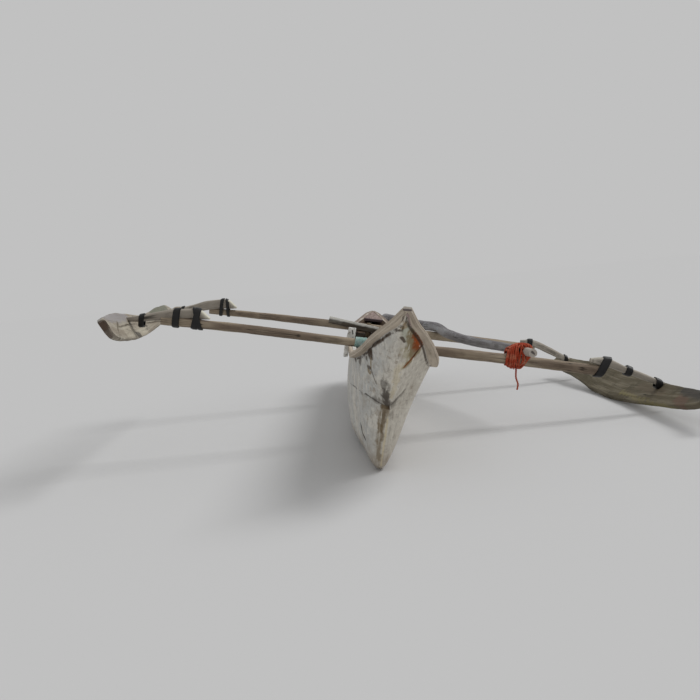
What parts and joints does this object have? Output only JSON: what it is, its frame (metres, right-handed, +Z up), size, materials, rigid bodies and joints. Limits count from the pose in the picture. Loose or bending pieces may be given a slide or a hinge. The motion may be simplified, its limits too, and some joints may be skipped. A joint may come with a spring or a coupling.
{
  "type": "double-outrigger dugout canoe",
  "caption": "Dugout outrigger canoe with raised plank sides, pole booms, canted plank floats and a stowed spar, resting heeled on its bilge and a float.",
  "frame": {"origin": "on the ground under the middle of the bounding box of the canoe as it lies on a beach", "axes": "+Z up; the bow points to -Y; +X is the boat's port side, whose float lies on the ground; the boat is heeled to port by 12.1 degrees about Y"},
  "size_m": [3.649, 5.65, 1.0056],
  "materials": {
    "limewashed_wood": "limewash worn over wood",
    "pale_wood": "weathered",
    "float_wood": "weathered, stained by sea water",
    "brown_wood": "weathered pole",
    "grey_wood": "silver grey, weathered",
    "dark_wood": "bare",
    "white_painted_wood": "old white paint",
    "black_rubber": "matt",
    "orange_rope": "twisted plastic fibre",
    "turquoise_rope": "twisted plastic fibre",
    "brown_rope": "plant fibre"
  },
  "bodies": {
    "root": {"arm_front_port": "grey_wood", "arm_front_starboard": "grey_wood", "arm_rear_port": "grey_wood", "arm_rear_starboard": "grey_wood", "boom_front": "brown_wood", "boom_rear": "brown_wood", "bow_deck": "pale_wood", "cross_board": "pale_wood", "float_port": "float_wood", "float_starboard": "pale_wood", "frame_1": "dark_wood", "frame_2": "dark_wood", "frame_3": "dark_wood", "frame_4": "dark_wood", "frame_5": "dark_wood", "hull_log_1": "limewashed_wood", "hull_log_2": "limewashed_wood", "hull_log_3": "limewashed_wood", "hull_log_4": "limewashed_wood", "hull_log_5": "limewashed_wood", "hull_log_6": "limewashed_wood", "mast_board": "brown_wood", "mast_step": "dark_wood", "plank_port_1": "limewashed_wood", "plank_port_2": "limewashed_wood", "plank_port_3": "limewashed_wood", "plank_port_4": "limewashed_wood", "plank_starboard_1": "limewashed_wood", "plank_starboard_2": "limewashed_wood", "plank_starboard_3": "limewashed_wood", "plank_starboard_4": "limewashed_wood", "post_starboard": "white_painted_wood", "rail_port": "pale_wood", "rail_starboard": "pale_wood", "rope_lashing_front_port": "brown_rope", "rope_lashing_front_starboard": "turquoise_rope", "rope_lashing_rear_port": "brown_rope", "rope_lashing_rear_starboard": "brown_rope", "rope_lashing_spar": "orange_rope", "rope_tail": "orange_rope", "seat_board": "brown_wood", "spar": "grey_wood", "stern_deck": "pale_wood", "strap_front_port_1": "black_rubber", "strap_front_port_2": "black_rubber", "strap_front_port_3": "black_rubber", "strap_front_starboard_1": "black_rubber", "strap_front_starboard_2": "black_rubber", "strap_front_starboard_3": "black_rubber", "strap_rear_port_1": "black_rubber", "strap_rear_port_2": "black_rubber", "strap_rear_starboard_1": "black_rubber", "strap_rear_starboard_2": "black_rubber", "strap_rear_starboard_3": "black_rubber", "tie_beam_front": "brown_wood", "tie_beam_rear": "brown_wood"}
  },
  "joints": []
}
